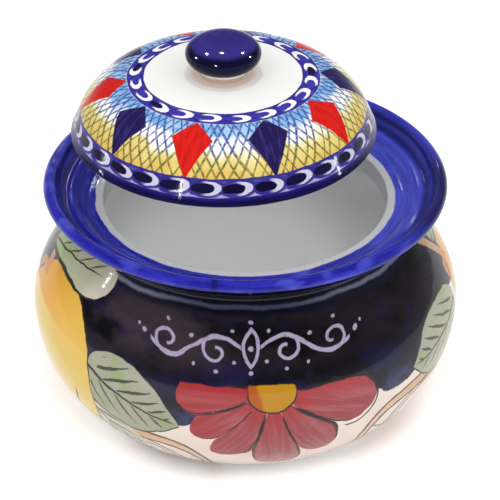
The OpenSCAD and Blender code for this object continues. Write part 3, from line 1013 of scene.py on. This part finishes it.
def paintCollar(bench):
    place, radius, turn, walk, _ = potPlace(bench)
    shakeX, shakeY, _ = bench.drift(place, 0.09, 3.0)
    x, y, _ = bench.split(place)
    strokes = bench.xyz(x * 0.03, y * 0.03, walk * 0.42)
    paint = bench.use(brushed, {"Strokes": strokes, "Deep": collarTints["deep"],
                                "Thin": collarTints["royal"], "Contrast": 1.0})
    patches = bench.grain(bench.xyz(x * 0.06, y * 0.06, walk * 0.1), 1.0, 2.0)
    colour = bench.mix(patches.smooth(0.52, 0.7) * 0.5, paint["Colour"], collarTints["light"])

    # thinly brushed to the right; deeper blue to the left, partly a wet brush and partly painted shade of the
    # lid; pooled in the lip's right
    facing, fromR = collarPatches["dry"]
    dry = (turn - facing).calc("COSINE").smooth(0.3, 1) * (radius - fromR).smooth(-1.5, 1.5, 0.7, 0.35)
    colour = bench.mix(dry * (paint["Share"] * 0.6 + 0.55), colour, collarTints["light"])
    # the left inner slope deepened: partly wet glaze, partly painted shade of the lid
    facing, fromR = collarPatches["wetAndShaded"]
    wetAndShaded = (turn + facing).calc("COSINE").smooth(0.5, 1) * (radius - fromR).smooth(-1.5, 1.5, 0.9, 0)
    colour = bench.mix(wetAndShaded * (1.15 - paint["Share"]), colour, collarTints["wetAndShaded"])
    facing, fromR = collarPatches["darkened"]
    darkened = (turn - facing).calc("COSINE").smooth(0.84, 1) * (radius - fromR).smooth(-1.5, 1.5, 0, 0.95)
    colour = bench.mix(darkened * (1.05 - paint["Share"] * 0.3), colour, collarTints["darkened"])

    # the groove, the bare ledge, a notch in the lip, and wear along its edge
    fromCrease = radius - collarMarks["creaseR"]
    groove = (fromCrease + 3.0 + shakeX).stroke(1.6, 1.5).high((fromCrease + shakeY).stroke(0.5, 0.6))
    colour = bench.mix(groove * 0.8, colour, collarTints["groove"])
    ledge = (radius + shakeX * 2.0 - collarMarks["ledgeR"]).smooth(-0.4, 0.4)
    colour = bench.mix(ledge, collarTints["white"], colour)
    notch = ((turn + math.radians(collarMarks["notch"])) * radius + shakeX * 2).stroke(1.3, 0.8)
    notch = notch * (radius - collarMarks["lipR"]).smooth(-1, 1)
    colour = bench.mix(notch * 0.8, colour, collarTints["groove"])
    worn = (walk - lipEdge - 0.8 + shakeY * 1.6).stroke(0.5, 0.5)
    worn = worn * bench.grain(place, 0.25, 2.0).smooth(0.4, 0.6)
    colour = bench.mix(worn * 0.8, colour, collarTints["worn"])
    return place, colour, ledge * paint["Share"]


whiteTints = {"warm": tint(250, 249, 247), "cool": tint(244, 245, 246)}


def paintWhite(bench):
    place, *_ = potPlace(bench)
    cloud = bench.grain(place, 0.02, 2.0)
    return place, bench.mix(cloud, whiteTints["warm"], whiteTints["cool"]), None


clayTints = {"fired": tint(206, 170, 138), "dark": tint(176, 136, 104)}


def paintClay(bench):
    place, *_ = potPlace(bench)
    speck = bench.grain(place, 0.9, 4.0, 0.7)
    return place, bench.mix(speck.smooth(0.35, 0.7), clayTints["fired"], clayTints["dark"]), None


potGlazes = {
    "main": makeGlaze("paintedGlaze", paintPot),
    "foot": makeGlaze("firedClay", paintClay, shine=0.15),
    "rim": makeGlaze("cobaltCollarGlaze", paintCollar),
    "inner": makeGlaze("whiteInnerGlaze", paintWhite),
}
pot = turnPiece("potForm", potOutlinePoints, (0, 0, 0), potGlazes,
                {"foot": -0.6, "rim": lipEdge - 0.2, "inner": ledgeInner}, startAt=footCorner,
                thrown=(4.0, 106.0))
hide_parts("jar")
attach(pot, "pot")


# the lid: white crown, chains of links, and a lattice with kites between

lidLow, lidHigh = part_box("lid")
lidCentre = ((lidLow.x + lidHigh.x) / 2, (lidLow.y + lidHigh.y) / 2, lidLow.z + lidShape["ringD"] * mm)
lidOutlinePoints = spaced(softened(lidOutline(lidShape, potShape, knobShape), lidShape["cornerSoft"]),
                          turning["longestStep"])
crownEdge = walkedAt(lidOutlinePoints, lidShape["crownR"], lidShape["crownH"] - lidShape["crownFall"])
domeEdge = walkedAt(lidOutlinePoints, lidShape["edgeR"] - lidShape["edgeLean"], lidShape["edgeH"])
lidFoot = walkedAt(lidOutlinePoints, lidShape["edgeR"], lidShape["round"])
chainBands = [  # the crown's chain and the edge's, in millimetres down from where each starts
    {"start": 1.4, "end": 9.8, "count": 20, "middleR": 43.5, "seed": 4.0, "borders": (0.86, 0.9),
     "coreReach": 0.36, "coreHalf": 0.43, "openFrom": -0.45, "darkShare": 0.22,
     "ground": tint(54, 46, 154), "pale": tint(250, 250, 250), "core": tint(64, 56, 166),
     "darkCore": tint(22, 18, 72), "corner": tint(64, 56, 164), "rim": tint(38, 30, 124),
     "border": tint(30, 24, 112)},
    {"start": 0.0, "end": 9.0, "count": 30, "middleR": 73.0, "seed": 8.0, "borders": (0.78, 0.94),
     "coreReach": 0.48, "coreHalf": 0.5, "openFrom": -0.15, "darkShare": 0.5,
     "ground": tint(54, 46, 134), "pale": tint(206, 201, 221), "core": tint(20, 16, 58),
     "darkCore": tint(16, 11, 46), "corner": tint(178, 170, 208), "rim": tint(50, 42, 126),
     "border": tint(54, 46, 140)},
]
kiteRow = {"count": 10, "front": -14.0, "half": 10.5, "shoulder": 0.34, "tip": 1.05}
latticeRow = {"lines": 80, "drift": 3.1, "half": 0.5, "wander": 1.6, "uneven": 0.36}
knobSeat = {"capShadow": 19.0, "stemReflection": 15.6}  # radii of the painted shadow of the knob's cap and of the painted reflection of its stem
washes = {  # where each colour starts and is full, as shares of the way from the crown to the edge
    "white": (0.2, 0.38), "sun": (0.44, 0.66), "yellow": (0.68, 0.95), "amber": (0.98, 1.25),
}
lidTints = {
    "white": tint(250, 250, 248), "sky": tint(166, 204, 240), "skyDeep": tint(117, 173, 226),
    "lemon": tint(242, 236, 190), "yellow": tint(228, 210, 126), "amber": tint(222, 190, 98),
    "lineBlue": tint(66, 82, 154), "lineOlive": tint(110, 102, 62), "red": tint(216, 36, 28),
    "redDeep": tint(190, 22, 22), "navy": tint(34, 26, 78), "navyThin": tint(62, 52, 120),
    "lilac": tint(222, 216, 238), "band": tint(10, 8, 44), "bandThin": tint(22, 19, 86),
    # this line holds the painted reflection of the knob's stem and the painted shadow of its cap
    "stemReflection": tint(204, 184, 170), "capShadow": tint(224, 219, 216), "dab": tint(116, 108, 196),
    "bandTop": tint(36, 31, 122),
}


def buildChain(bench, given):  # open loops, each with a dark core that starts in the loop before
    beat = given["Turn"] * given["Count"]
    number = beat.calc("FLOOR")
    luck = bench.chance(number, given["Seed"])
    luck2 = bench.chance(number, given["Seed"] + 70.5)
    half, rise = given["Pitch"] / 2, given["Half height"]
    out = (beat.calc("FRACT") - 0.5 + luck * 0.06 - 0.03) * given["Pitch"]
    up = given["Height"] + luck2 * 0.6 - 0.3 + out * (luck - 0.5) * 0.16
    loop = abs(out / (half * (luck2 * 0.12 + 0.9))) ** 2.2
    loop = loop + abs(up / (rise * (luck * 0.1 + 0.76))) ** 2.2
    coreEnd = half * (luck2 * 0.18 - 0.09 + given["Core reach"])
    coreStart = half * -0.97
    coreHalf = rise * (luck * 0.08 + given["Core half"])
    coreMiddle = (coreEnd + coreStart) / 2
    core = abs((out - coreMiddle) / ((coreEnd - coreStart) / 2)) ** 2.6 + abs(up / coreHalf) ** 2.2
    coreMask = (1 - core).inside(0.16)
    openAt = given["Open from"]
    opened = (out / half + luck2 * 0.3).smooth(openAt, openAt + 0.55)
    white = (0.94 - loop).inside(0.08) * ~(1.1 - core).inside(0.12) * opened
    rim = (loop - 1.02).stroke(0.1, 0.08) * 0.9
    corner = (loop - 1.75).inside(0.18) * up.smooth(-0.5, 0.5, given["Top corners"], 1)
    return {"Loop": white, "Core": coreMask, "Rim": rim, "Corner": corner, "Luck": luck2}


chainPaint = makeEffect(
    "chainPaint",
    {"Turn": 0.0, "Height": 0.0, "Count": 22.0, "Pitch": 14.0, "Half height": 4.0, "Seed": 0.0,
     "Top corners": 0.0, "Core reach": 0.2, "Core half": 0.43, "Open from": -0.45},
    ("Loop", "Core", "Rim", "Corner", "Luck"),
    buildChain,
)


def latticeLines(bench, around, share, radius, shake, sign, seed):  # one family of slanting lines
    slant = share * (shake * latticeRow["wander"] + latticeRow["drift"] * sign)
    beat = around * latticeRow["lines"] + slant + seed
    luck = bench.chance(beat.calc("FLOOR"), seed)
    spacing = radius * (2 * math.pi / latticeRow["lines"])
    off = (beat.calc("FRACT") - 0.5 + (luck - 0.5) * latticeRow["uneven"]) * spacing * 0.9
    return (off / (luck * 0.5 + 0.75)).stroke(latticeRow["half"], 0.2)


def kiteShapes(bench, around, radius, walk, share):  # mask and colour of the kites, red and navy by turns
    beat = (around - kiteRow["front"] / 360) * kiteRow["count"]
    number = beat.calc("ROUND")
    luck = bench.chance(number, 5.0)
    luck2 = bench.chance(number, 25.0)
    across = (beat - number) * (2 * math.pi / kiteRow["count"]) * radius
    across = across + (share - 0.3) * (luck - 0.5) * 7 + (luck2 - 0.5) * 2
    rise = share / (kiteRow["shoulder"] + luck2 * 0.06)
    fall = (kiteRow["tip"] - share) / (kiteRow["tip"] - kiteRow["shoulder"])
    depth = rise.low(fall) * kiteRow["half"] - abs(across)
    fibres = bench.grain(bench.xyz(across * 0.5, walk * 0.1, number), 1.0, 3.0, 0.6)
    red = bench.mix(fibres.smooth(0.4, 0.7), lidTints["red"], lidTints["redDeep"])
    blue = bench.mix(fibres.smooth(0.45, 0.75), lidTints["navy"], lidTints["navyThin"])
    return (depth * 0.7).inside(0.25), bench.mix(number.calc("PINGPONG", 1.0), red, blue)


def chainColours(bench, band, height, halfBand, around, tremors, dabs):
    brushHeight = height + tremors[1] * 0.5
    brushTurn = around + tremors[0] * 0.7 / band["middleR"] / (2 * math.pi)
    chain = bench.use(chainPaint, {"Turn": brushTurn, "Height": brushHeight, "Count": band["count"],
                                   "Pitch": 2 * math.pi * band["middleR"] / band["count"],
                                   "Half height": halfBand * 0.9, "Seed": band["seed"],
                                   "Top corners": 0.1, "Core reach": band["coreReach"],
                                   "Core half": band["coreHalf"], "Open from": band["openFrom"]})
    core = bench.mix(chain["Luck"].calc("LESS_THAN", band["darkShare"]), band["core"], band["darkCore"])
    paint = bench.mix(dabs * 0.4, band["ground"], lidTints["dab"])
    paint = bench.mix(chain["Corner"] * 0.9, paint, band["corner"])
    paint = bench.mix(chain["Rim"], paint, band["rim"])
    paint = bench.mix(chain["Loop"], paint, band["pale"])
    paint = bench.mix(chain["Core"], paint, core)
    inward, outward = band["borders"]
    paint = bench.mix((height / -halfBand).smooth(inward - 0.04, inward + 0.04), paint, band["border"])
    paint = bench.mix((height / halfBand).smooth(outward - 0.04, outward + 0.04), paint, band["border"])
    return paint, chain["Loop"]


def paintLid(bench):
    place, radius, turn, walk, _ = potPlace(bench, lidCentre)
    shakeX, shakeY, shakeZ = bench.drift(place, 0.07, 2.0)
    tremors = bench.drift(place, 0.4, 1.0)[:2]
    around = (turn + (shakeX * 1.6 + tremors[0] * 0.2) / radius.high(6.0)) / (2 * math.pi)
    walk = walk + shakeY * 1.6 + tremors[1] * 0.3
    x, y, _ = bench.split(place)
    fan = bench.drift(bench.xyz(x / radius.high(6.0), y / radius.high(6.0)), 2.6, 1.0)
    colour = bench.mix(shakeZ * 0.2, lidTints["white"], lidTints["lilac"])

    # sky blue, white and yellow washes under two families of lines
    latticeStart = crownEdge + chainBands[0]["end"]
    share = (walk - latticeStart) / (domeEdge - latticeStart)
    strokes = bench.node("ShaderNodeVectorMath", place, (0.16, 0.16, 0.16), operation="MULTIPLY")[0]
    wash = bench.grain(strokes, 1.0, 3.0, 0.6)
    wavy = share + shakeX * 0.5
    sky = bench.mix(wash.smooth(0.42, 0.6), lidTints["sky"], lidTints["skyDeep"])
    zone = bench.mix(wavy.smooth(*washes["white"]), sky, lidTints["white"])
    sun = bench.mix((wavy + wash * 0.4).smooth(*washes["yellow"]), lidTints["lemon"], lidTints["yellow"])
    sun = bench.mix((wavy + wash * 0.5).smooth(*washes["amber"]), sun, lidTints["amber"])
    zone = bench.mix((wavy + shakeZ * 0.4).smooth(*washes["sun"]), zone, sun)
    lines = latticeLines(bench, around, share, radius, fan[0], 1, 3.0)
    lines = lines.high(latticeLines(bench, around, share, radius, fan[1], -1, 9.0))
    ink = bench.mix(wavy.smooth(0.5, 0.65), lidTints["lineBlue"], lidTints["lineOlive"])
    zone = bench.mix(lines * bench.grain(place, 0.6, 2.0).smooth(0.35, 0.6, 0.6, 1), zone, ink)
    kite, kiteColour = kiteShapes(bench, around, radius, walk, share)
    zone = bench.mix(kite, zone, kiteColour)
    inLattice = share.smooth(-0.02, 0.02)
    colour = bench.mix(inLattice, colour, zone)
    raised = kite * inLattice * 0.5 + lines * inLattice * 0.4

    # the two chains
    dabs = bench.grain(bench.xyz(x * 0.1, y * 0.1, walk * 0.8), 1.0, 3.0, 0.6).smooth(0.5, 0.66)
    for band, edge in zip(chainBands, (crownEdge, domeEdge)):
        start, end = edge + band["start"], edge + band["end"]
        halfBand = (end - start) / 2
        height = walk - (start + end) / 2
        paint, loops = chainColours(bench, band, height, halfBand, around, tremors, dabs)
        within = (halfBand - abs(height)).inside(0.25)
        colour = bench.mix(within, colour, paint)
        raised = raised.high(within * loops * 0.5)

    # the dark edge below them, and round the knob a painted shadow of its cap and a painted reflection of its
    # stem
    skirt = bench.use(brushed, {"Strokes": bench.xyz(x * 0.04, y * 0.04, walk * 0.5),
                                "Deep": lidTints["band"], "Thin": lidTints["bandThin"], "Contrast": 0.8})
    low = (walk - domeEdge - chainBands[1]["end"] + 0.3).inside(0.35)
    skirtTop = (walk - lidFoot).fade(-3.7, -1.5)
    colour = bench.mix(low, colour, bench.mix(skirtTop * 0.9, skirt["Colour"], lidTints["bandTop"]))
    # painted shadow of the knob's cap on the crown
    capShaded = (radius - knobSeat["capShadow"] + shakeY * 2.0).fade(-1.0, 1.0)
    colour = bench.mix(capShaded * 0.8, colour, lidTints["capShadow"])
    # painted reflection of the knob's stem in the crown
    stemReflected = (radius - knobSeat["stemReflection"] + shakeX * 2.0).fade(-1.6, 1.6)
    return place, bench.mix(stemReflected * 0.8, colour, lidTints["stemReflection"]), raised


lidGlazes = {
    "main": makeGlaze("chainAndLatticeGlaze", paintLid, shine=0.22),
    "foot": potGlazes["foot"],
    "rim": potGlazes["inner"],
    "inner": potGlazes["inner"],
}
lid = turnPiece("lidForm", lidOutlinePoints, lidCentre, lidGlazes,
                {"foot": -1.0, "rim": lidFoot + 1.6, "inner": lidFoot + 1.6}, thrown=(2.0, 2.0))
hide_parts("lid")
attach(lid, "cover")


# the knob

knobTints = {"deep": tint(46, 41, 112), "cobalt": tint(62, 55, 140), "cream": tint(250, 244, 240),
             # the last tint on this line is a painted reflection of the dark room, on the cap's lower half
             "bare": tint(214, 194, 180), "smudge": tint(150, 128, 112), "darkened": tint(6, 5, 20)}
knobLow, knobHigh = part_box("knob")
knobCentre = ((knobLow.x + knobHigh.x) / 2, (knobLow.y + knobHigh.y) / 2, knobLow.z)
knobOutlinePoints = spaced(softened(knobOutline(knobShape), knobShape["cornerSoft"]), turning["knobStep"])
knobMarks = {"cream": (2.9, 3.7), "darkened": (14.9, 17.0)}  # millimetres up, where each comes and goes; the cap's dark lower part is a painted reflection of the dark room
capStart = walkedAt(knobOutlinePoints, knobShape["stemTopR"], knobShape["stemH"])
pastTop = walked(knobOutlinePoints)[-1] + 1  # beyond the outline's end: no rim and no inside


def paintKnob(bench):
    place, _, _, walk, z = potPlace(bench, knobCentre)
    x, y, _ = bench.split(place)
    cap = bench.use(brushed, {"Strokes": bench.xyz(x * 0.05, y * 0.05, walk * 0.16),
                              "Deep": knobTints["deep"], "Thin": knobTints["cobalt"], "Contrast": 0.6})
    shakeX, shakeY, _ = bench.drift(place, 0.2, 2.0)
    creamy = (z + shakeX * 0.6).smooth(*knobMarks["cream"])
    stem = bench.mix(creamy, knobTints["bare"], knobTints["cream"])
    smudge = bench.grain(place, 0.35, 3.0).smooth(0.66, 0.74)
    stem = bench.mix(smudge * 0.5, stem, knobTints["smudge"])
    # the cap painted near-black below its middle: a painted reflection of the dark room it mirrors there
    darkened = (z + shakeX * 0.8).fade(*knobMarks["darkened"])
    capColour = bench.mix(darkened * 0.9, cap["Colour"], knobTints["darkened"])
    onCap = (walk - capStart - 1.2 + shakeY).inside(0.3)
    return place, bench.mix(onCap, stem, capColour), onCap * 0.5


knobGlaze = makeGlaze("cobaltKnobGlaze", paintKnob, waveLength=9.0, waveHeight=0.05, shine=0.12)
knob = turnPiece("knobForm", knobOutlinePoints, knobCentre,
                 dict.fromkeys(("main", "foot", "rim", "inner"), knobGlaze),
                 {"foot": -1.0, "rim": pastTop, "inner": pastTop})
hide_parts("knob")
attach(knob, "cover")
print("pieces turned and glazed")


# studio

studio = {
    "focal": 145.04, "distance": 1.0, "aim": (0, 0, 0.122), "elevation": 31.2, "down": 33.257,
    "yaw": -0.00274, "floorRadius": 4.0, "floorCorners": 64, "floorLevel": 0.95, "floorSeen": 1.35,
    "floorMirrored": 1.15, "skyLevel": 0.74, "lowRoom": 0.4, "highRoom": 0.12, "lampAim": (0, 0, 0.1),
}
softLamps = {
    "keyLamp": {"place": (-1.1, -1.3, 1.9), "size": 1.4, "power": 6},
    "fillLamp": {"place": (1.5, -0.9, 1.4), "size": 1.4, "power": 3},
    "mouthLamp": {"place": (0.1, -0.75, 1.25), "size": 0.6, "power": 5.5},
}
glintLamps = (  # small lamps that only one piece mirrors, and where each stands
    (knob, {"size": 0.14, "power": 16},
     [(-0.75, 0.2, 1.48), (-0.07, 0.17, 1.66), (0.84, 0.33, 1.39), (-0.52, -1.31, 0.71), (1.33, 0.17, 0.87),
      (-1.4, 0.12, 0.77)]),
    (lid, {"size": 0.045, "power": 0.55},
     [(-0.79, 0.09, 1.46), (-0.78, -1.29, 0.56), (1.54, -0.02, 0.26), (-1.55, 0.16, 0.22)]),
    (pot, {"size": 0.032, "power": 0.22},
     [(-1.41, 0.15, 0.72), (1.29, 0.24, 0.94), (-0.12, 1.22, 0.9), (0.49, 1.11, 0.99)]),
)


def makeCamera():
    data = bpy.data.cameras.new("camera")
    data.lens = studio["focal"]
    data.sensor_width = 36
    data.clip_start = 0.02
    camera = bpy.data.objects.new("camera", data)
    bpy.context.scene.collection.objects.link(camera)
    rise = math.radians(studio["elevation"])
    aim = Vector(studio["aim"])
    camera.location = aim + studio["distance"] * Vector((0, -math.cos(rise), math.sin(rise)))
    camera.rotation_euler = (math.radians(90 - studio["down"]), 0, studio["yaw"])
    bpy.context.scene.camera = camera


def makeFloor():
    mesh = bpy.data.meshes.new("floor")
    corners, reach = studio["floorCorners"], studio["floorRadius"]
    angles = [2 * math.pi * i / corners for i in range(corners)]
    mesh.from_pydata([(reach * math.cos(a), reach * math.sin(a), 0) for a in angles], [], [range(corners)])
    floor = bpy.data.objects.new("floor", mesh)
    bpy.context.scene.collection.objects.link(floor)
    material = bpy.data.materials.new("paleFloor")
    material.use_nodes = True
    tree = material.node_tree
    tree.nodes.clear()
    bench = Bench(tree)
    paths = bench.node("ShaderNodeLightPath")
    seen, mirrored = paths[0], paths[3]
    plain, white, pale = ((studio[name],) * 3 for name in ("floorLevel", "floorSeen", "floorMirrored"))
    matt = bench.node("ShaderNodeBsdfDiffuse", bench.mix(mirrored, bench.mix(seen, plain, white), pale))[0]
    output = tree.nodes.new("ShaderNodeOutputMaterial")
    bench.feed(output.inputs[0], matt)
    floor.data.materials.append(material)


def makeWorld():  # white where the camera looks, dimmer where the glaze mirrors it
    world = bpy.data.worlds.new("studioWorld")
    bpy.context.scene.world = world
    world.use_nodes = True
    tree = world.node_tree
    tree.nodes.clear()
    bench = Bench(tree)
    _, _, up = bench.split(bench.node("ShaderNodeTexCoord")[0])
    paths = bench.node("ShaderNodeLightPath")
    seen, mirrored = paths[0], paths[3]
    room = up.smooth(0.02, 0.25, studio["lowRoom"], studio["highRoom"])
    level = mirrored * room + ~mirrored * (seen + ~seen * studio["skyLevel"])
    background = bench.node("ShaderNodeBackground", bench.xyz(level, level, level), 1.0)[0]
    output = tree.nodes.new("ShaderNodeOutputWorld")
    bench.feed(output.inputs[0], background)


def gather(name, piece):  # a collection of one piece, for light linking
    collection = bpy.data.collections.new(name)
    collection.objects.link(piece)
    return collection


def makeLamp(name, place, size, power, onlyGlint=None):  # a soft lamp, or a glint on one piece only
    data = bpy.data.lights.new(name, "AREA")
    data.shape = "DISK"
    data.size = size
    data.energy = power
    lamp = bpy.data.objects.new(name, data)
    bpy.context.scene.collection.objects.link(lamp)
    lamp.location = place
    lamp.rotation_euler = (Vector(studio["lampAim"]) - Vector(place)).to_track_quat("-Z", "Y").to_euler()
    lamp.visible_glossy = bool(onlyGlint)
    if onlyGlint:
        lamp.visible_diffuse = False
        lamp.light_linking.receiver_collection = onlyGlint
    return lamp


bpy.context.scene.view_settings.view_transform = "Standard"
makeCamera()
makeFloor()
makeWorld()
lamps = {name: makeLamp(name, **values) for name, values in softLamps.items()}
lamps["mouthLamp"].light_linking.blocker_collection = gather("mouthShade", pot)  # the lid lets it by
for piece, values, places in glintLamps:
    lit = gather(piece.name + "Lit", piece)
    for number, place in enumerate(places):
        makeLamp(f"{piece.name}Glint{number}", place, **values, onlyGlint=lit)
print("studio set")
